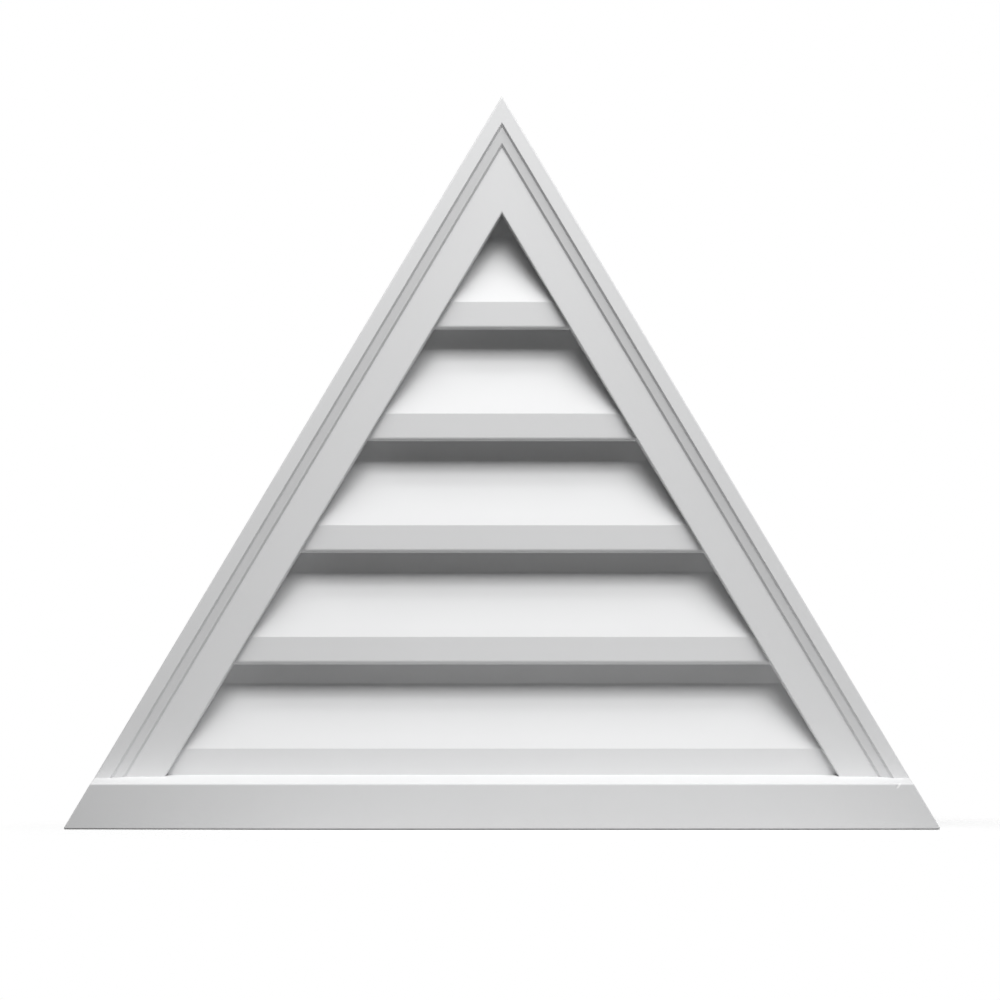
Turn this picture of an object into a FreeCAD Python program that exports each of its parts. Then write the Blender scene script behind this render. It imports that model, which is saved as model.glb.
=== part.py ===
import FreeCAD, Part

import math
import os

# Triangular gable vent, in millimetres.
# One rigid foam moulding holds the stepped trim, the sloped sill and the fixed louvre blades.
# A welded wire screen lies in a rebate in its back, and staples hold the screen there.
# The wall plane is y = 0, the front faces -y and z is up. Depths below are measured from the wall.
# The origin is the middle of the back face's bottom edge.

# Outer triangle, seen from the front.
OVERALL_WIDTH = 813.0
OVERALL_HEIGHT = 680.0
FRAME_DEPTH = 56.0

# Trim on the two rakes, from the outer edge inwards.
OUTER_BAND_WIDTH = 12.5
STEP_RUN = 2.2
STEP_DROP = 2.8
BEVEL_WIDTH = 7.5
BEVEL_DROP = 2.4
FLAT_BAND_WIDTH = 31.3
TRIM_ARRIS_RADIUS = 1.2
STEP_RADIUS = 0.5
OPENING_ARRIS_RADIUS = 1.6
OPENING_DRAFT_DEG = 1.5

# Sill.
SILL_FACE_HEIGHT = 42.5
SILL_PROJECTION = 28.0
SILL_SLOPE_DEG = 8.8
SILL_NOSE_RADIUS = 2.0
SILL_TOE_RADIUS = 1.5

# Louvre blades. A blade is a sloped board with a deep nose in front and an upright weather lip behind.
LOUVRE_PITCH = 103.8
LOUVRE_GAP = 18.0
NOSE_HEIGHT = 25.6
NOSE_THICKNESS = 12.0
NOSE_SETBACK = 9.0
FIRST_NOSE_SHOWING = 24.5
BOARD_DROP = 22.0
LIP_THICKNESS = 7.0
LIP_LAP = 4.0
APEX_POCKET = 15.0
NOSE_TOP_RADIUS = 1.5
NOSE_DRIP_RADIUS = 4.0
CREASE_RADIUS = 3.0
EDGE_RADIUS = 2.0
BLADE_END_BITE = 25.0

# Rebate in the back, and the wire screen that lies in it.
BACK_FLANGE_WIDTH = 30.0
REBATE_DEPTH = 3.0
SCREEN_FOOT_LAP = 40.0
SCREEN_CLEARANCE = 1.0
SCREEN_PITCH = 6.35
WIRE_SIZE = 0.7

# Staples over the screen's upright wires, with a leg in the mesh on each side of the wire.
STAPLE_SPACING = 82.0
STAPLE_WIRE = 0.9
STAPLE_SHOULDER_RADIUS = 0.4
STAPLE_BITE = 6.0
LEG_CLEARANCE = 0.05

# Rake geometry.
rake_run = OVERALL_WIDTH / 2
rake_length = math.hypot(rake_run, OVERALL_HEIGHT)
rake_sin = OVERALL_HEIGHT / rake_length
rake_cos = rake_run / rake_length

# Trim: distances from the outer edge, square to the rake, and depths of its levels.
bevel_start = OUTER_BAND_WIDTH + STEP_RUN
bevel_end = bevel_start + BEVEL_WIDTH
flat_start = bevel_end + STEP_RUN
opening_edge = flat_start + FLAT_BAND_WIDTH
bevel_level = FRAME_DEPTH - STEP_DROP
bevel_foot_level = bevel_level - BEVEL_DROP
flat_level = bevel_foot_level - STEP_DROP
opening_back_edge = opening_edge + flat_level * math.tan(math.radians(OPENING_DRAFT_DEG))

# Depths of the louvre blades.
nose_level = flat_level - NOSE_SETBACK
lip_level = REBATE_DEPTH + LIP_THICKNESS
slope_run = nose_level - lip_level
slope_rise = LOUVRE_PITCH - NOSE_HEIGHT - LOUVRE_GAP
slope_gain = slope_rise / slope_run

# Heights of the sill and the louvre blades.
sill_depth = FRAME_DEPTH + SILL_PROJECTION
sill_gain = math.tan(math.radians(SILL_SLOPE_DEG))
# The sill's ends lean with the rakes. On a flatter rake their corner at the toe is sharper and takes a smaller arris.
sill_end_radius = min(TRIM_ARRIS_RADIUS, SILL_TOE_RADIUS * (rake_sin / rake_cos - rake_sin))
first_nose_top = SILL_FACE_HEIGHT + (sill_depth - nose_level) * sill_gain + FIRST_NOSE_SHOWING
opening_apex = OVERALL_HEIGHT - opening_edge / rake_cos
top_head_limit = opening_apex - APEX_POCKET
louvre_count = 1 + int((top_head_limit - slope_rise - first_nose_top) // LOUVRE_PITCH)
first_lip_top = first_nose_top + LOUVRE_PITCH - NOSE_HEIGHT + LIP_LAP

# Rebate and screen.
rebate_foot = first_lip_top - SCREEN_FOOT_LAP
screen_inset = BACK_FLANGE_WIDTH + SCREEN_CLEARANCE
screen_foot = rebate_foot + SCREEN_CLEARANCE
crown_level = REBATE_DEPTH - 2 * WIRE_SIZE
staple_inset = (BACK_FLANGE_WIDTH + opening_edge) / 2


def half_width(height, inset):
    """Half the width, at a height, of the outer triangle drawn in by inset square to its rakes."""
    return (OVERALL_HEIGHT - height) * rake_run / OVERALL_HEIGHT - inset / rake_sin


def rake_height(offset, inset):
    """Height, at a sideways offset from the middle, of the outer triangle drawn in by inset."""
    return OVERALL_HEIGHT - (abs(offset) + inset / rake_sin) * OVERALL_HEIGHT / rake_run


def triangle_prism(inset, foot, near, far):
    """Prism over the outer triangle drawn in by inset, above the height foot, between two depths."""
    half = half_width(foot, inset)
    peak = rake_height(0, inset)
    left = FreeCAD.Vector(-half, -near, foot)
    right = FreeCAD.Vector(half, -near, foot)
    top = FreeCAD.Vector(0, -near, peak)
    face = Part.Face(Part.makePolygon([left, right, top, left]))
    return face.extrude(FreeCAD.Vector(0, near - far, 0))


def rounded_face(corners, place):
    """Face through (a, b, radius) corners, each rounded by its radius, put in space by place(point)."""
    turns = []
    for index, (a, b, radius) in enumerate(corners):
        corner = FreeCAD.Vector(a, b, 0)
        last = corners[index - 1]
        following = corners[(index + 1) % len(corners)]
        back = (FreeCAD.Vector(last[0], last[1], 0) - corner).normalize()
        ahead = (FreeCAD.Vector(following[0], following[1], 0) - corner).normalize()
        half_angle = back.getAngle(ahead) / 2
        reach = radius / math.tan(half_angle)
        inwards = (back + ahead).normalize()
        middle = corner + inwards * (radius / math.sin(half_angle) - radius)
        turns.append((corner + back * reach, middle, corner + ahead * reach, radius))
    edges = []
    for index, (start, middle, end, radius) in enumerate(turns):
        if radius > 0:
            edges.append(Part.Arc(place(start), place(middle), place(end)).toShape())
        next_start = turns[(index + 1) % len(turns)][0]
        edges.append(Part.LineSegment(place(end), place(next_start)).toShape())
    return Part.Face(Part.Wire(edges))


def long_bar(corners):
    """Bar of a section drawn as (depth, height, radius), as long as the vent is wide."""
    face = rounded_face(corners, lambda point: FreeCAD.Vector(-rake_run, -point.x, point.y))
    return face.extrude(FreeCAD.Vector(OVERALL_WIDTH, 0, 0))


def trim_section():
    """Section of a rake as (distance from the outer edge, depth, radius): two steps with a bevel between."""
    return [
        (0, 0, 0),
        (0, FRAME_DEPTH, TRIM_ARRIS_RADIUS),
        (OUTER_BAND_WIDTH, FRAME_DEPTH, STEP_RADIUS),
        (bevel_start, bevel_level, STEP_RADIUS),
        (bevel_end, bevel_foot_level, STEP_RADIUS),
        (flat_start, flat_level, STEP_RADIUS),
        (opening_edge, flat_level, OPENING_ARRIS_RADIUS),
        (opening_back_edge, 0, 0),
    ]


def left_rake():
    """Trim along the left slope, cut plumb at the apex and level at the foot."""
    foot = FreeCAD.Vector(-rake_run, 0, 0)
    inwards = FreeCAD.Vector(rake_sin, 0, -rake_cos)
    along = FreeCAD.Vector(rake_cos, 0, rake_sin)
    section = rounded_face(
        trim_section(),
        lambda point: foot + inwards * point.x - FreeCAD.Vector(0, point.y, 0),
    )
    bar = section.extrude(along * rake_length)
    left_half = Part.makeBox(rake_run, FRAME_DEPTH, OVERALL_HEIGHT, FreeCAD.Vector(-rake_run, -FRAME_DEPTH, 0))
    return bar.common(left_half)


def sill():
    """Sill with a sloped top, its ends in line with the rakes and their arrises rounded."""
    section = [
        (0, 0, 0),
        (sill_depth, 0, SILL_TOE_RADIUS),
        (sill_depth, SILL_FACE_HEIGHT, SILL_NOSE_RADIUS),
        (0, SILL_FACE_HEIGHT + sill_depth * sill_gain, 0),
    ]
    bar = long_bar(section).common(triangle_prism(0, 0, 0, sill_depth))
    return bar.makeFillet(sill_end_radius, end_arrises(bar))


def end_arrises(bar):
    """Edges at both ends of the sill, but for those on the wall and on the underside."""
    clear = SILL_TOE_RADIUS / 10
    ends = [edge for edge in bar.Edges if edge.BoundBox.XLength < rake_run]
    return [edge for edge in ends if edge.CenterOfMass.y < -clear and edge.CenterOfMass.z > clear]


def blade_front(nose_top):
    """Front of a blade from its nose up the slope to the foot of its lip."""
    return [
        (nose_level, nose_top, NOSE_TOP_RADIUS),
        (lip_level, nose_top + slope_rise, CREASE_RADIUS),
    ]


def lip_end(nose_top):
    """Top of a blade's lip, which stands a little above the drip edge of the next nose."""
    lip_top = nose_top + LOUVRE_PITCH - NOSE_HEIGHT + LIP_LAP
    return [
        (lip_level, lip_top, EDGE_RADIUS),
        (REBATE_DEPTH, lip_top, EDGE_RADIUS),
    ]


def lip_to_apex():
    """Lip of the top blade, which runs up behind the trim and closes the apex."""
    return [
        (lip_level, OVERALL_HEIGHT, 0),
        (REBATE_DEPTH, OVERALL_HEIGHT, 0),
    ]


def blade_back(nose_top):
    """Underside of a blade, parallel to its slope, and the back and drip edge of its nose."""
    nose_back = nose_level - NOSE_THICKNESS
    nose_bottom = nose_top - NOSE_HEIGHT
    soffit_base = nose_top - BOARD_DROP
    return [
        (REBATE_DEPTH, soffit_base + (nose_level - REBATE_DEPTH) * slope_gain, EDGE_RADIUS),
        (nose_back, soffit_base + NOSE_THICKNESS * slope_gain, EDGE_RADIUS),
        (nose_back, nose_bottom, EDGE_RADIUS),
        (nose_level, nose_bottom, NOSE_DRIP_RADIUS),
    ]


def sill_back():
    """Solid foot of the lowest blade, which grows out of the sill."""
    return [
        (REBATE_DEPTH, rebate_foot, 0),
        (0, rebate_foot, 0),
        (0, 0, 0),
        (nose_level, 0, 0),
    ]


def blade(index):
    """One louvre blade, let into the rakes at both ends."""
    nose_top = first_nose_top + index * LOUVRE_PITCH
    front = blade_front(nose_top)
    lip = lip_to_apex() if index == louvre_count - 1 else lip_end(nose_top)
    back = sill_back() if index == 0 else blade_back(nose_top)
    ends = triangle_prism(opening_edge - BLADE_END_BITE, 0, 0, nose_level)
    return long_bar(front + lip + back).common(ends)


def wire(start, size):
    """One square wire of the screen."""
    return Part.makeBox(size.x, size.y, size.z, start)


def screen_columns():
    """Sideways places of the screen's upright wires."""
    count = int(half_width(screen_foot + SCREEN_PITCH, screen_inset) // SCREEN_PITCH)
    return [index * SCREEN_PITCH for index in range(-count, count + 1)]


def screen_rows():
    """Heights of the screen's level wires."""
    count = int((rake_height(SCREEN_PITCH, screen_inset) - screen_foot) // SCREEN_PITCH)
    return [screen_foot + index * SCREEN_PITCH for index in range(count + 1)]


def wire_screen():
    """Welded mesh: level wires on the rebate floor, and upright wires welded to their backs."""
    wires = []
    for height in screen_rows():
        half = half_width(height + WIRE_SIZE, screen_inset)
        start = FreeCAD.Vector(-half, -REBATE_DEPTH, height)
        wires.append(wire(start, FreeCAD.Vector(2 * half, WIRE_SIZE, WIRE_SIZE)))
    for offset in screen_columns():
        tall = rake_height(abs(offset) + WIRE_SIZE, screen_inset) - screen_foot
        start = FreeCAD.Vector(offset - WIRE_SIZE / 2, WIRE_SIZE - REBATE_DEPTH, screen_foot)
        wires.append(wire(start, FreeCAD.Vector(WIRE_SIZE, WIRE_SIZE, tall)))
    return Part.makeCompound(wires)


def nearest_column(offset):
    """Upright wire nearest to a sideways offset."""
    return round(offset / SCREEN_PITCH) * SCREEN_PITCH


def mesh_row(height):
    """Middle of the mesh opening that a height falls in."""
    count = (height - screen_foot) // SCREEN_PITCH
    return screen_foot + WIRE_SIZE / 2 + (count + 0.5) * SCREEN_PITCH


def staple_places():
    """Sideways place and height of each staple, along the screen's foot and up both rakes."""
    places = []
    foot_row = mesh_row(screen_foot + 1.5 * SCREEN_PITCH)
    foot_reach = half_width(foot_row, staple_inset)
    foot_count = int(foot_reach // STAPLE_SPACING)
    for index in range(-foot_count, foot_count + 1):
        places.append((nearest_column(index * foot_reach / (foot_count + 1)), foot_row))
    rake_top = rake_height(2 * SCREEN_PITCH, staple_inset)
    rake_count = int((rake_top - foot_row) // STAPLE_SPACING)
    for index in range(rake_count + 1):
        height = mesh_row(foot_row + index * (rake_top - foot_row) / rake_count)
        offset = nearest_column(half_width(height, staple_inset))
        places.append((-offset, height))
        places.append((offset, height))
    return places


def staple(offset, height):
    """One staple: a crown across an upright wire and two legs in the moulding."""
    reach = (SCREEN_PITCH + STAPLE_WIRE) / 2
    inner = reach - STAPLE_WIRE
    crown_back = crown_level - STAPLE_WIRE
    tip = REBATE_DEPTH + STAPLE_BITE
    section = [
        (-reach, tip, 0),
        (-reach, crown_back, STAPLE_SHOULDER_RADIUS),
        (reach, crown_back, STAPLE_SHOULDER_RADIUS),
        (reach, tip, 0),
        (inner, tip, 0),
        (inner, crown_level, 0),
        (-inner, crown_level, 0),
        (-inner, tip, 0),
    ]
    low = height - STAPLE_WIRE / 2
    face = rounded_face(section, lambda point: FreeCAD.Vector(offset + point.x, -point.y, low))
    return face.extrude(FreeCAD.Vector(0, 0, STAPLE_WIRE))


def leg_pockets(offset, height):
    """The two pockets that one staple's legs have made in the moulding."""
    size = STAPLE_WIRE + 2 * LEG_CLEARANCE
    deep = STAPLE_BITE + LEG_CLEARANCE
    pockets = []
    for side in (-1, 1):
        middle = offset + side * SCREEN_PITCH / 2
        start = FreeCAD.Vector(middle - size / 2, -REBATE_DEPTH - deep, height - size / 2)
        pockets.append(Part.makeBox(size, deep, size, start))
    return pockets


def louvre_body(staples):
    """The whole moulding: both rakes, the sill and the blades as one solid, with the rebate cut in its back."""
    rake = left_rake()
    other_rake = rake.mirror(FreeCAD.Vector(0, 0, 0), FreeCAD.Vector(1, 0, 0))
    blades = [blade(index) for index in range(louvre_count)]
    body = rake.fuse([other_rake, sill()] + blades)
    cuts = [triangle_prism(BACK_FLANGE_WIDTH, rebate_foot, 0, REBATE_DEPTH)]
    for offset, height in staples:
        cuts += leg_pockets(offset, height)
    return body.cut(cuts).removeSplitter()


def main():
    """Build each piece and write it to its own file."""
    os.makedirs("parts", exist_ok=True)
    staples = staple_places()
    pieces = {
        "louvre_body": louvre_body(staples),
        "wire_screen": wire_screen(),
        "screen_staples": Part.makeCompound([staple(offset, height) for offset, height in staples]),
    }
    for name, shape in pieces.items():
        shape.exportStep(f"parts/{name}.step")
        print(name, "solids", len(shape.Solids), "volume", round(shape.Volume), "valid", shape.isValid())


main()
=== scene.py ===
import math

import bpy
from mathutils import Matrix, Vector


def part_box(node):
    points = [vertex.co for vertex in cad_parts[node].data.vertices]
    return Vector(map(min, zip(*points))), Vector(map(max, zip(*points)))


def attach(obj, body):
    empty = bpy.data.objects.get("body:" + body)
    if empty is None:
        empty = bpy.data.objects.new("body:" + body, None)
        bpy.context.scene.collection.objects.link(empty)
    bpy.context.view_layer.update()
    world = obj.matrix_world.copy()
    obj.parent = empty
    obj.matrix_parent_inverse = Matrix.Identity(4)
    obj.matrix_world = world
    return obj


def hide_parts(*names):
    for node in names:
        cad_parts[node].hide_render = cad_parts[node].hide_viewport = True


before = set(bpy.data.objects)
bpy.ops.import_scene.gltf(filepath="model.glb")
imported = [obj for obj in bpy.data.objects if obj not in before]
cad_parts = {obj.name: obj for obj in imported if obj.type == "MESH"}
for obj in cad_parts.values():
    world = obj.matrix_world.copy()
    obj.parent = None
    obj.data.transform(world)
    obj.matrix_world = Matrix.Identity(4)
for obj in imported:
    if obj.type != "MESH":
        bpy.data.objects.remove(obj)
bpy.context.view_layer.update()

bl_info = {
    "name": "Gable Vent",
    "version": (1, 0, 0),
    "blender": (4, 5, 0),
    "location": "View3D > Sidebar > Gable Vent",
    "description": "Finishes a triangular louvred gable vent and lights it on a pale floor",
    "category": "Object",
}

BODY_LOW, BODY_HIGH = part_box("louvre_body")
SCREEN_LOW, SCREEN_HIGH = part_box("wire_screen")
ROOT = "root"
X_AXIS = 0
Z_AXIS = 2
QUARTER_TURN = math.radians(90)

# The screen is two layers of wire deep.
WIRE_DIAMETER = (SCREEN_HIGH.y - SCREEN_LOW.y) / 2

# Points nearer than the weld become one point, and neighbours that turn less than the flat angle one face.
WELD_DISTANCE = 1e-6
FLAT_ANGLE = math.radians(0.5)

# Edges that turn less than these angles are shaded smooth, and large faces set the normals beside them.
MOULDING_ARC_ANGLE = math.radians(42)
WIRE_ARC_ANGLE = math.radians(50)
LARGE_FACE_WEIGHT = 100

# Staple edges that turn more than this angle are rounded.
STAPLE_ARRIS_ANGLE = math.radians(50)

# Shares of the nick with its painted highlight and of the floor, from the middle out, that show in full
# before they fade.
NICK_AND_HIGHLIGHT_SOLID_SHARE = 0.5
FLOOR_SOLID_SHARE = 0.35

# The floor is a round sheet just below the sill.
FLOOR_SIDES = 96
FLOOR_DROP = 0.0005
FLOOR_ROUGHNESS = 0.9
FLOOR_SPECULAR = 0.1

# Turn from the vent's front and lift in degrees, then width and height, of each soft lamp.
LAMPS = {
    "softbox": (6, 46, 1.3, 1.0),
    "upper": (0, 62, 1.5, 0.9),
    "side": (50, 30, 0.9, 0.7),
    "overhead": (0, 76, 1.8, 0.9),
    "back": (150, -4, 1.8, 0.3),
}

# The view plane lies between the faces of the trim and the sill, at this share of the vent's depth.
VIEW_PLANE_SHARE = 0.75

# The camera sees as far as this many view distances.
CLIP_DISTANCES = 4


class MouldingSettings(bpy.types.PropertyGroup):
    """Finish of the white foam moulding."""

    colour: bpy.props.FloatVectorProperty(
        name="Primer colour", description="Colour of the white factory primer", subtype="COLOR",
        size=4, min=0, max=1, default=(0.728, 0.73, 0.734, 1))
    roughness: bpy.props.FloatProperty(
        name="Roughness", description="Roughness of the satin primer", subtype="FACTOR",
        min=0, max=1, default=0.75)
    specular: bpy.props.FloatProperty(
        name="Specular level", description="Strength of the primer's gloss", subtype="FACTOR",
        min=0, max=1, default=0.12)
    cloud_size: bpy.props.FloatProperty(
        name="Cloud size", description="Width of the soft clouds in the primer", subtype="DISTANCE",
        unit="LENGTH", default=0.09)
    cloud_amount: bpy.props.FloatProperty(
        name="Cloud amount", description="Strength of the soft clouds in the primer", subtype="FACTOR",
        min=0, max=1, default=0.03)
    peel_size: bpy.props.FloatProperty(
        name="Peel size", description="Width of one dimple of the sprayed primer", subtype="DISTANCE",
        unit="LENGTH", default=0.0022)
    peel_depth: bpy.props.FloatProperty(
        name="Peel depth", description="Depth of the dimples of the sprayed primer", subtype="DISTANCE",
        unit="LENGTH", default=0.00003)
    # The nick's colour is a painted highlight, paler than the primer where the nick's wall would face the
    # lamps.
    nick_highlight_colour: bpy.props.FloatVectorProperty(
        name="Nick highlight colour", description="Colour of the pale scuff at the sill's front arris",
        subtype="COLOR", size=4, min=0, max=1, default=(0.9, 0.9, 0.9, 1))
    # Place, reach and lean set both the nick's pressed-in dent and its painted highlight.
    nick_and_highlight_place: bpy.props.FloatVectorProperty(
        name="Nick place", description="Middle of the scuff at the sill's front arris",
        subtype="XYZ_LENGTH", unit="LENGTH", size=3, default=(0.3676, BODY_LOW.y, 0.0408))
    nick_and_highlight_reach: bpy.props.FloatVectorProperty(
        name="Nick reach", description="Half the width, depth and length of the scuff",
        subtype="XYZ_LENGTH", unit="LENGTH", size=3, default=(0.0014, 0.0026, 0.0042))
    nick_and_highlight_lean: bpy.props.FloatProperty(
        name="Nick lean", description="Lean of the scuff from plumb", subtype="ANGLE", unit="ROTATION",
        default=math.radians(38))
    scuff_dent: bpy.props.FloatProperty(
        name="Scuff dent", description="Depth to which the scuff is pressed in", subtype="DISTANCE",
        unit="LENGTH", default=0.00025)


class ScreenSettings(bpy.types.PropertyGroup):
    """Wires of the screen and the staples that hold it."""

    pitch: bpy.props.FloatProperty(
        name="Mesh pitch", description="Distance from wire to wire", subtype="DISTANCE",
        unit="LENGTH", default=0.00635)
    wire: bpy.props.FloatProperty(
        name="Wire diameter", description="Diameter of one wire with its zinc", subtype="DISTANCE",
        unit="LENGTH", default=WIRE_DIAMETER)
    sides: bpy.props.IntProperty(
        name="Wire sides", description="Sides of one wire", min=6, default=8)
    wire_arris: bpy.props.FloatProperty(
        name="Wire arris", description="Bevel on the sheared end of a wire", subtype="DISTANCE",
        unit="LENGTH", default=WIRE_DIAMETER / 6)
    staple_arris: bpy.props.FloatProperty(
        name="Staple arris", description="Rounding of the staples' edges", subtype="DISTANCE",
        unit="LENGTH", default=WIRE_DIAMETER / 4)
    zinc: bpy.props.FloatVectorProperty(
        name="Zinc colour", description="Colour of the dull galvanised wire", subtype="COLOR",
        size=4, min=0, max=1, default=(0.46, 0.47, 0.48, 1))
    zinc_roughness: bpy.props.FloatProperty(
        name="Zinc roughness", description="Roughness of the dull galvanised wire", subtype="FACTOR",
        min=0, max=1, default=0.45)
    staple: bpy.props.FloatVectorProperty(
        name="Staple colour", description="Colour of the plated staples", subtype="COLOR",
        size=4, min=0, max=1, default=(0.6, 0.59, 0.57, 1))
    staple_roughness: bpy.props.FloatProperty(
        name="Staple roughness", description="Roughness of the plated staples", subtype="FACTOR",
        min=0, max=1, default=0.3)
    cloud_size: bpy.props.FloatProperty(
        name="Cloud size", description="Width of the uneven patches in the zinc", subtype="DISTANCE",
        unit="LENGTH", default=0.004)
    cloud_amount: bpy.props.FloatProperty(
        name="Cloud amount", description="Strength of the uneven patches in the zinc", subtype="FACTOR",
        min=0, max=1, default=0.5)


class StageSettings(bpy.types.PropertyGroup):
    """Floor, lamps and camera."""

    view_width: bpy.props.FloatProperty(
        name="View width", description="Width of the picture at the view plane", subtype="DISTANCE",
        unit="LENGTH", default=0.9276)
    view_height: bpy.props.FloatProperty(
        name="View height", description="Height of the level camera above the floor", subtype="DISTANCE",
        unit="LENGTH", default=0.305)
    view_side: bpy.props.FloatProperty(
        name="View side", description="Sideways place of the camera", subtype="DISTANCE",
        unit="LENGTH", default=-0.0018)
    view_distance: bpy.props.FloatProperty(
        name="View distance", description="Distance from the camera to the view plane", subtype="DISTANCE",
        unit="LENGTH", default=12.0)
    lamp_distance: bpy.props.FloatProperty(
        name="Lamp distance", description="Distance from the middle of the vent to each lamp",
        subtype="DISTANCE", unit="LENGTH", default=2.6)
    softbox_power: bpy.props.FloatProperty(
        name="Softbox power", description="Power of the wide softbox above the front",
        unit="POWER", default=49)
    upper_power: bpy.props.FloatProperty(
        name="Upper power", description="Power of the softbox high above the front",
        unit="POWER", default=23)
    side_power: bpy.props.FloatProperty(
        name="Side power", description="Power of the lower softbox on the right",
        unit="POWER", default=7.6)
    overhead_power: bpy.props.FloatProperty(
        name="Overhead power", description="Power of the soft lamp overhead",
        unit="POWER", default=21)
    back_power: bpy.props.FloatProperty(
        name="Back power", description="Power of the low lamp that shows the back",
        unit="POWER", default=18)
    surround: bpy.props.FloatProperty(
        name="Surround", description="Brightness of the studio around the vent", subtype="FACTOR",
        min=0, max=1, default=0.045)
    floor_colour: bpy.props.FloatVectorProperty(
        name="Floor colour", description="Colour of the pale floor", subtype="COLOR",
        size=4, min=0, max=1, default=(0.9, 0.9, 0.9, 1))
    floor_bounce: bpy.props.FloatVectorProperty(
        name="Floor bounce", description="Colour with which the floor lights the vent from below",
        subtype="COLOR", size=4, min=0, max=1, default=(0.48, 0.48, 0.48, 1))
    floor_side: bpy.props.FloatProperty(
        name="Floor side", description="Sideways place of the middle of the floor", subtype="DISTANCE",
        unit="LENGTH", default=0.07)
    floor_reach: bpy.props.FloatProperty(
        name="Floor reach", description="Distance at which the floor has faded into the background",
        subtype="DISTANCE", unit="LENGTH", default=0.58)


def start_object_mode():
    """Leave edit mode and clear the selection."""
    if bpy.context.object and bpy.context.object.mode != "OBJECT":
        bpy.ops.object.mode_set(mode="OBJECT")
    bpy.ops.object.select_all(action="DESELECT")


def make_active(piece):
    """Select one object alone and make it active."""
    start_object_mode()
    piece.select_set(True)
    bpy.context.view_layer.objects.active = piece


def merged_copy(node, name):
    """Copy of a CAD node with its loose triangles joined into whole flat faces."""
    make_active(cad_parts[node])
    bpy.ops.object.duplicate()
    piece = bpy.context.object
    piece.name = name
    bpy.ops.object.mode_set(mode="EDIT")
    bpy.ops.mesh.select_all(action="SELECT")
    bpy.ops.mesh.remove_doubles(threshold=WELD_DISTANCE)
    bpy.ops.mesh.dissolve_limited(angle_limit=FLAT_ANGLE)
    bpy.ops.object.mode_set(mode="OBJECT")
    bpy.ops.mesh.customdata_custom_splitnormals_clear()
    return piece


def smooth_arcs(piece, angle):
    """Shade the rounded edges smooth and keep the flats between them flat."""
    make_active(piece)
    bpy.ops.object.shade_smooth_by_angle(angle=angle)
    bpy.ops.object.modifier_add(type="WEIGHTED_NORMAL")
    flats = piece.modifiers[-1]
    flats.weight = LARGE_FACE_WEIGHT
    flats.keep_sharp = True
    bpy.ops.object.modifier_apply(modifier=flats.name)


def give_material(piece, material):
    """Replace whatever materials a piece has with one."""
    piece.data.materials.clear()
    piece.data.materials.append(material)


def declare(piece, node, material):
    """Give a finished piece its material, hang it on the root body and hide the CAD node it stands for."""
    give_material(piece, material)
    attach(piece, ROOT)
    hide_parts(node)


def new_material(name):
    """New node material, with its nodes, its links and its Principled shader."""
    material = bpy.data.materials.new(name)
    material.use_nodes = True
    nodes = material.node_tree.nodes
    return material, nodes, material.node_tree.links, nodes["Principled BSDF"]


def add_node(nodes, kind, **values):
    """Add a node and set its sockets by name."""
    node = nodes.new(kind)
    for name, value in values.items():
        node.inputs[name.replace("_", " ")].default_value = value
    return node


def add_math(nodes, operation):
    """Add a math node for one operation."""
    node = nodes.new("ShaderNodeMath")
    node.operation = operation
    return node


def mottle_group():
    """Node group that the vent's materials share: soft cloudy variation of a colour and of a roughness."""
    group = bpy.data.node_groups.new("Mottle", "ShaderNodeTree")
    for name, kind in (("Colour", "NodeSocketColor"), ("Roughness", "NodeSocketFloat"),
                       ("Size", "NodeSocketFloat"), ("Amount", "NodeSocketFloat")):
        group.interface.new_socket(name, in_out="INPUT", socket_type=kind)
    group.interface.new_socket("Colour", in_out="OUTPUT", socket_type="NodeSocketColor")
    group.interface.new_socket("Roughness", in_out="OUTPUT", socket_type="NodeSocketFloat")
    nodes, links = group.nodes, group.links
    entry = nodes.new("NodeGroupInput")
    leave = nodes.new("NodeGroupOutput")
    place = nodes.new("ShaderNodeTexCoord")
    scale = add_math(nodes, "DIVIDE")
    scale.inputs[0].default_value = 1
    links.new(entry.outputs["Size"], scale.inputs[1])
    cloud = add_node(nodes, "ShaderNodeTexNoise", Detail=4, Roughness=0.6)
    links.new(place.outputs["Object"], cloud.inputs["Vector"])
    links.new(scale.outputs[0], cloud.inputs["Scale"])
    # The factor is 1 where the cloud is at its middle value of a half.
    offset = add_math(nodes, "MULTIPLY_ADD")
    offset.inputs[1].default_value = -0.5
    offset.inputs[2].default_value = 1
    links.new(entry.outputs["Amount"], offset.inputs[0])
    factor = add_math(nodes, "MULTIPLY_ADD")
    links.new(cloud.outputs["Fac"], factor.inputs[0])
    links.new(entry.outputs["Amount"], factor.inputs[1])
    links.new(offset.outputs[0], factor.inputs[2])
    tint = nodes.new("ShaderNodeVectorMath")
    tint.operation = "SCALE"
    links.new(entry.outputs["Colour"], tint.inputs[0])
    links.new(factor.outputs[0], tint.inputs["Scale"])
    links.new(tint.outputs[0], leave.inputs["Colour"])
    rough = add_math(nodes, "MULTIPLY")
    links.new(entry.outputs["Roughness"], rough.inputs[0])
    links.new(factor.outputs[0], rough.inputs[1])
    links.new(rough.outputs[0], leave.inputs["Roughness"])
    return group


def add_mottle(nodes, colour, roughness, size, amount):
    """Place the mottle group, built the first time, in a material with its own values."""
    node = nodes.new("ShaderNodeGroup")
    node.node_tree = bpy.data.node_groups.get("Mottle") or mottle_group()
    node.inputs["Colour"].default_value = colour
    node.inputs["Roughness"].default_value = roughness
    node.inputs["Size"].default_value = size
    node.inputs["Amount"].default_value = amount
    return node


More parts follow.
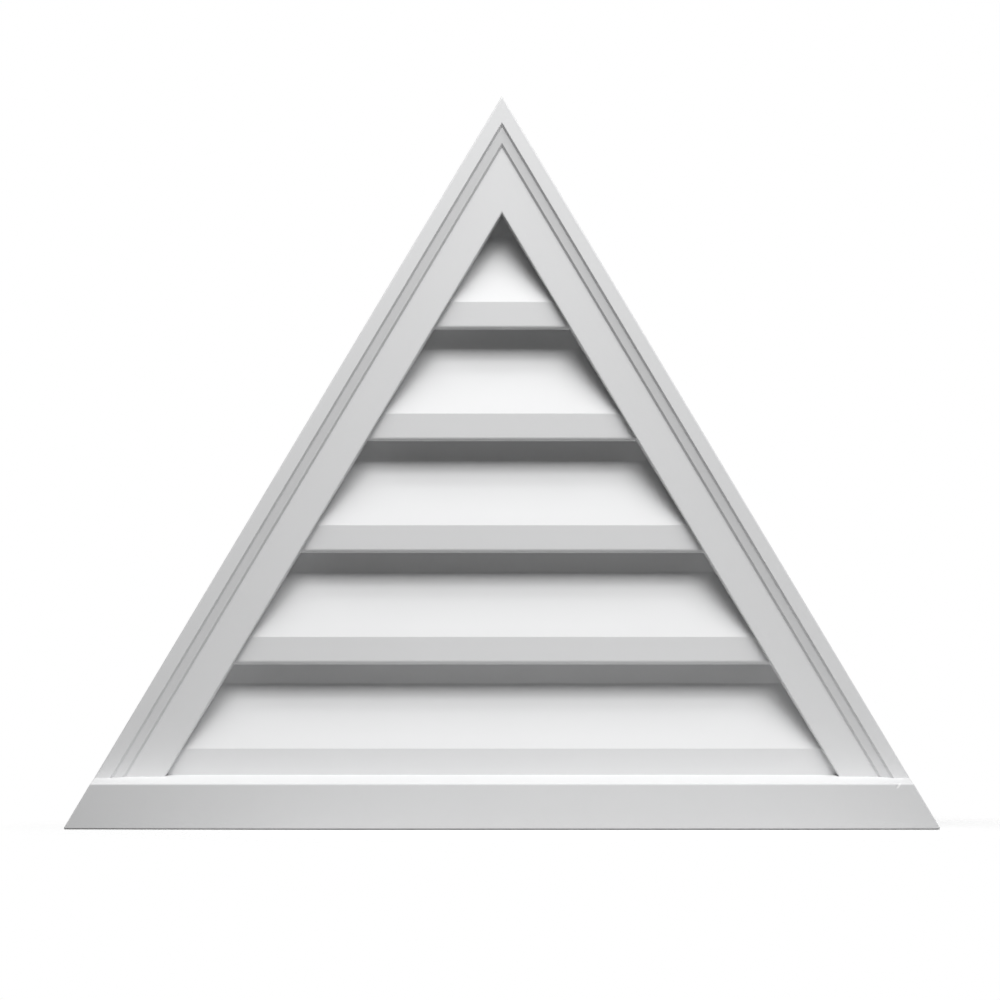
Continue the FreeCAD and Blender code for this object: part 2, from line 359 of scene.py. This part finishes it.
def nick_and_highlight_mask(nodes, links, place, settings):
    """Mask of the one nick at the sill's front arris, a narrow leaning streak: it presses the dent in and
    carries its painted highlight.
    """
    centred = nodes.new("ShaderNodeMapping")
    centred.vector_type = "TEXTURE"
    centred.inputs["Location"].default_value = settings.nick_and_highlight_place
    centred.inputs["Rotation"].default_value = (0, settings.nick_and_highlight_lean, 0)
    centred.inputs["Scale"].default_value = settings.nick_and_highlight_reach
    links.new(place.outputs["Object"], centred.inputs["Vector"])
    away = nodes.new("ShaderNodeVectorMath")
    away.operation = "LENGTH"
    links.new(centred.outputs["Vector"], away.inputs[0])
    mask = add_node(nodes, "ShaderNodeMapRange", From_Min=1, From_Max=NICK_AND_HIGHLIGHT_SOLID_SHARE)
    mask.interpolation_type = "SMOOTHSTEP"
    links.new(away.outputs["Value"], mask.inputs["Value"])
    return mask.outputs["Result"]


def primer_material(settings):
    """Satin white primer on moulded foam: fine dimples, slight clouding and one nick, pressed in and with a
    painted highlight.
    """
    material, nodes, links, skin = new_material("satin_primer")
    mottle = add_mottle(
        nodes, settings.colour, settings.roughness, settings.cloud_size, settings.cloud_amount)
    place = nodes.new("ShaderNodeTexCoord")
    nick_and_highlight = nick_and_highlight_mask(nodes, links, place, settings)
    # Painted highlight: the primer turns paler inside the nick, where the lamps would light its wall.
    colour = nodes.new("ShaderNodeMix")
    colour.data_type = "RGBA"
    links.new(nick_and_highlight, colour.inputs["Factor"])
    links.new(mottle.outputs["Colour"], colour.inputs["A"])
    colour.inputs["B"].default_value = settings.nick_highlight_colour
    links.new(colour.outputs["Result"], skin.inputs["Base Color"])
    links.new(mottle.outputs["Roughness"], skin.inputs["Roughness"])
    skin.inputs["Specular IOR Level"].default_value = settings.specular
    dent = add_node(nodes, "ShaderNodeBump", Distance=settings.scuff_dent)
    dent.invert = True
    links.new(nick_and_highlight, dent.inputs["Height"])
    peel = add_node(nodes, "ShaderNodeTexNoise", Scale=1 / settings.peel_size, Detail=2)
    links.new(place.outputs["Object"], peel.inputs["Vector"])
    bump = add_node(nodes, "ShaderNodeBump", Distance=settings.peel_depth)
    links.new(peel.outputs["Fac"], bump.inputs["Height"])
    links.new(dent.outputs["Normal"], bump.inputs["Normal"])
    links.new(bump.outputs["Normal"], skin.inputs["Normal"])
    return material


def wire_material(name, colour, roughness, settings):
    """Plated steel wire with a slightly uneven zinc skin."""
    material, nodes, links, skin = new_material(name)
    skin.inputs["Metallic"].default_value = 1
    mottle = add_mottle(nodes, colour, roughness, settings.cloud_size, settings.cloud_amount)
    links.new(mottle.outputs["Colour"], skin.inputs["Base Color"])
    links.new(mottle.outputs["Roughness"], skin.inputs["Roughness"])
    return material


class VENT_OT_moulding(bpy.types.Operator):
    """Finish the white moulding"""

    bl_idname = "gable_vent.moulding"
    bl_label = "Moulding"

    def execute(self, context):
        piece = merged_copy("louvre_body", "moulded_body")
        smooth_arcs(piece, MOULDING_ARC_ANGLE)
        declare(piece, "louvre_body", primer_material(context.scene.vent_moulding))
        return {"FINISHED"}


def cut_wire(settings, length, turn):
    """One straight wire through the origin, with the edges of its sheared ends bevelled."""
    start_object_mode()
    bpy.ops.mesh.primitive_cylinder_add(
        vertices=settings.sides, radius=settings.wire / 2, depth=length, rotation=turn)
    wire = bpy.context.object
    bpy.ops.object.transform_apply(location=False, rotation=True, scale=False)
    bpy.ops.object.mode_set(mode="EDIT")
    bpy.ops.mesh.select_mode(type="FACE")
    bpy.ops.mesh.select_all(action="DESELECT")
    bpy.ops.object.mode_set(mode="OBJECT")
    for face in wire.data.polygons:
        face.select = len(face.vertices) == settings.sides
    bpy.ops.object.mode_set(mode="EDIT")
    bpy.ops.mesh.region_to_loop()
    bpy.ops.mesh.bevel(offset=settings.wire_arris, segments=1, affect="EDGES")
    bpy.ops.object.mode_set(mode="OBJECT")
    return wire


def stretched_copy(wire, axis, extra, place):
    """Copy of a wire with its own mesh, longer along one axis and moved to its place."""
    copy = wire.copy()
    copy.data = wire.data.copy()
    bpy.context.collection.objects.link(copy)
    for vertex in copy.data.vertices:
        vertex.co[axis] += math.copysign(extra / 2, vertex.co[axis])
        vertex.co += place
    return copy


def screen_wires(settings):
    """Level wires on the rebate floor and upright wires behind them, cut along the rakes."""
    pitch, wire = settings.pitch, settings.wire
    lean = BODY_HIGH.x / BODY_HIGH.z
    foot = SCREEN_LOW.z
    # A level wire ends where its top meets the rake, so the screen's triangle is wider at its foot.
    foot_half = SCREEN_HIGH.x + wire * lean
    # One wire of each layer is cut a pitch long, and its copies are stretched to their lengths.
    level = cut_wire(settings, pitch, (0, QUARTER_TURN, 0))
    upright = cut_wire(settings, pitch, (0, 0, 0))
    wires = []
    rows = 1 + int((foot_half - pitch) / lean // pitch)
    for index in range(rows):
        half = SCREEN_HIGH.x - index * pitch * lean
        place = Vector((0, SCREEN_LOW.y + wire / 2, foot + wire / 2 + index * pitch))
        wires.append(stretched_copy(level, X_AXIS, 2 * half - pitch, place))
    columns = int((foot_half - pitch * lean) // pitch)
    for index in range(-columns, columns + 1):
        tall = (foot_half - abs(index) * pitch - wire) / lean
        place = Vector((index * pitch, SCREEN_HIGH.y - wire / 2, foot + tall / 2))
        wires.append(stretched_copy(upright, Z_AXIS, tall - pitch, place))
    bpy.data.objects.remove(level)
    bpy.data.objects.remove(upright)
    return wires


class VENT_OT_wire_screen(bpy.types.Operator):
    """Lay the welded wire screen in its rebate"""

    bl_idname = "gable_vent.wire_screen"
    bl_label = "Wire screen"

    def execute(self, context):
        settings = context.scene.vent_screen
        wires = screen_wires(settings)
        make_active(wires[0])
        for wire in wires:
            wire.select_set(True)
        bpy.ops.object.join()
        piece = context.object
        piece.name = "welded_wires"
        smooth_arcs(piece, WIRE_ARC_ANGLE)
        zinc = wire_material("dull_zinc", settings.zinc, settings.zinc_roughness, settings)
        declare(piece, "wire_screen", zinc)
        return {"FINISHED"}


class VENT_OT_screen_staples(bpy.types.Operator):
    """Round and plate the staples"""

    bl_idname = "gable_vent.screen_staples"
    bl_label = "Staples"

    def execute(self, context):
        settings = context.scene.vent_screen
        piece = merged_copy("screen_staples", "bent_staples")
        bpy.ops.object.modifier_add(type="BEVEL")
        arris = piece.modifiers[-1]
        arris.width = settings.staple_arris
        arris.segments = 2
        arris.limit_method = "ANGLE"
        arris.angle_limit = STAPLE_ARRIS_ANGLE
        bpy.ops.object.modifier_apply(modifier=arris.name)
        smooth_arcs(piece, WIRE_ARC_ANGLE)
        zinc = wire_material("bright_zinc", settings.staple, settings.staple_roughness, settings)
        declare(piece, "screen_staples", zinc)
        return {"FINISHED"}


def seen_rays(nodes, links):
    """Whether the background is looked at, by the camera or in a reflection, and isn't only giving light."""
    rays = nodes.new("ShaderNodeLightPath")
    seen = rays.outputs["Is Camera Ray"]
    for kind in ("Is Glossy Ray", "Is Transmission Ray"):
        either = add_math(nodes, "MAXIMUM")
        links.new(seen, either.inputs[0])
        links.new(rays.outputs[kind], either.inputs[1])
        seen = either.outputs[0]
    return seen


def floor_material(settings):
    """Pale floor that takes the vent's shadow and fades out into the white background."""
    material, nodes, links, skin = new_material("pale_floor")
    shade = nodes.new("ShaderNodeMix")
    shade.data_type = "RGBA"
    shade.inputs["A"].default_value = settings.floor_bounce
    shade.inputs["B"].default_value = settings.floor_colour
    links.new(seen_rays(nodes, links), shade.inputs["Factor"])
    links.new(shade.outputs["Result"], skin.inputs["Base Color"])
    skin.inputs["Roughness"].default_value = FLOOR_ROUGHNESS
    skin.inputs["Specular IOR Level"].default_value = FLOOR_SPECULAR
    place = nodes.new("ShaderNodeTexCoord")
    reach = nodes.new("ShaderNodeVectorMath")
    reach.operation = "LENGTH"
    links.new(place.outputs["Object"], reach.inputs[0])
    fade = add_node(nodes, "ShaderNodeMapRange", From_Min=settings.floor_reach * FLOOR_SOLID_SHARE,
                    From_Max=settings.floor_reach)
    fade.interpolation_type = "SMOOTHSTEP"
    links.new(reach.outputs["Value"], fade.inputs["Value"])
    clear = nodes.new("ShaderNodeBsdfTransparent")
    mix = nodes.new("ShaderNodeMixShader")
    links.new(fade.outputs["Result"], mix.inputs[0])
    links.new(skin.outputs[0], mix.inputs[1])
    links.new(clear.outputs[0], mix.inputs[2])
    links.new(mix.outputs[0], nodes["Material Output"].inputs["Surface"])
    return material


def add_floor(settings):
    """Round floor under the vent, which is part of the stage and not of the vent."""
    start_object_mode()
    bpy.ops.mesh.primitive_circle_add(
        vertices=FLOOR_SIDES, radius=settings.floor_reach, fill_type="NGON",
        location=(settings.floor_side, 0, -FLOOR_DROP))
    floor = bpy.context.object
    floor.name = "floor"
    give_material(floor, floor_material(settings))


def add_lamp(name, power, distance):
    """Soft rectangular lamp that looks at the middle of the vent from a distance."""
    turn, lift, width, height = LAMPS[name]
    turn, lift = math.radians(turn), math.radians(lift)
    middle = (BODY_LOW + BODY_HIGH) / 2
    way = Vector((math.sin(turn) * math.cos(lift), -math.cos(turn) * math.cos(lift), math.sin(lift)))
    bpy.ops.object.light_add(type="AREA", location=middle + way * distance)
    lamp = bpy.context.object
    lamp.name = name
    lamp.data.shape = "RECTANGLE"
    lamp.data.size = width
    lamp.data.size_y = height
    lamp.data.energy = power
    lamp.rotation_euler = way.to_track_quat("Z", "Y").to_euler()


def studio_world(settings):
    """White behind the vent for the camera, and a dimmer even studio as light."""
    world = bpy.data.worlds.new("studio")
    bpy.context.scene.world = world
    world.use_nodes = True
    nodes, links = world.node_tree.nodes, world.node_tree.links
    back = nodes["Background"]
    back.inputs["Color"].default_value = (1, 1, 1, 1)
    level = add_node(nodes, "ShaderNodeMapRange", To_Min=settings.surround, To_Max=1)
    links.new(seen_rays(nodes, links), level.inputs["Value"])
    links.new(level.outputs["Result"], back.inputs["Strength"])


def add_camera(settings):
    """Level camera in front of the vent, far enough back that its lines stay nearly parallel."""
    view_plane = VIEW_PLANE_SHARE * BODY_LOW.y
    bpy.ops.object.camera_add(
        location=(settings.view_side, view_plane - settings.view_distance, settings.view_height),
        rotation=(QUARTER_TURN, 0, 0))
    camera = bpy.context.object
    camera.data.lens = camera.data.sensor_width * settings.view_distance / settings.view_width
    camera.data.clip_end = CLIP_DISTANCES * settings.view_distance
    bpy.context.scene.camera = camera


class VENT_OT_stage(bpy.types.Operator):
    """Set the pale floor, the lamps and the camera"""

    bl_idname = "gable_vent.stage"
    bl_label = "Stage"

    def execute(self, context):
        settings = context.scene.vent_stage
        add_floor(settings)
        for name in LAMPS:
            add_lamp(name, getattr(settings, f"{name}_power"), settings.lamp_distance)
        studio_world(settings)
        add_camera(settings)
        context.scene.view_settings.view_transform = "Standard"
        return {"FINISHED"}


class VENT_PT_panel(bpy.types.Panel):
    """Lists the steps that dress the vent"""

    bl_label = "Gable Vent"
    bl_idname = "VENT_PT_panel"
    bl_space_type = "VIEW_3D"
    bl_region_type = "UI"
    bl_category = "Gable Vent"

    def draw(self, context):
        layout = self.layout
        for operator in OPERATORS:
            layout.operator(operator.bl_idname)
        for name in SETTINGS:
            settings = getattr(context.scene, name)
            box = layout.box()
            for value in settings.__annotations__:
                box.prop(settings, value)


SETTINGS = {
    "vent_moulding": MouldingSettings,
    "vent_screen": ScreenSettings,
    "vent_stage": StageSettings,
}
OPERATORS = (VENT_OT_moulding, VENT_OT_wire_screen, VENT_OT_screen_staples, VENT_OT_stage)


def register():
    """Register the settings, the operators and the panel."""
    for name, group in SETTINGS.items():
        bpy.utils.register_class(group)
        setattr(bpy.types.Scene, name, bpy.props.PointerProperty(type=group))
    for operator in OPERATORS:
        bpy.utils.register_class(operator)
    bpy.utils.register_class(VENT_PT_panel)


def unregister():
    """Take the panel, the operators and the settings away again."""
    bpy.utils.unregister_class(VENT_PT_panel)
    for operator in reversed(OPERATORS):
        bpy.utils.unregister_class(operator)
    for name, group in SETTINGS.items():
        delattr(bpy.types.Scene, name)
        bpy.utils.unregister_class(group)


def main():
    """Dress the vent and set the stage."""
    register()
    bpy.ops.gable_vent.moulding()
    bpy.ops.gable_vent.wire_screen()
    bpy.ops.gable_vent.screen_staples()
    bpy.ops.gable_vent.stage()


if __name__ == "__main__":
    main()
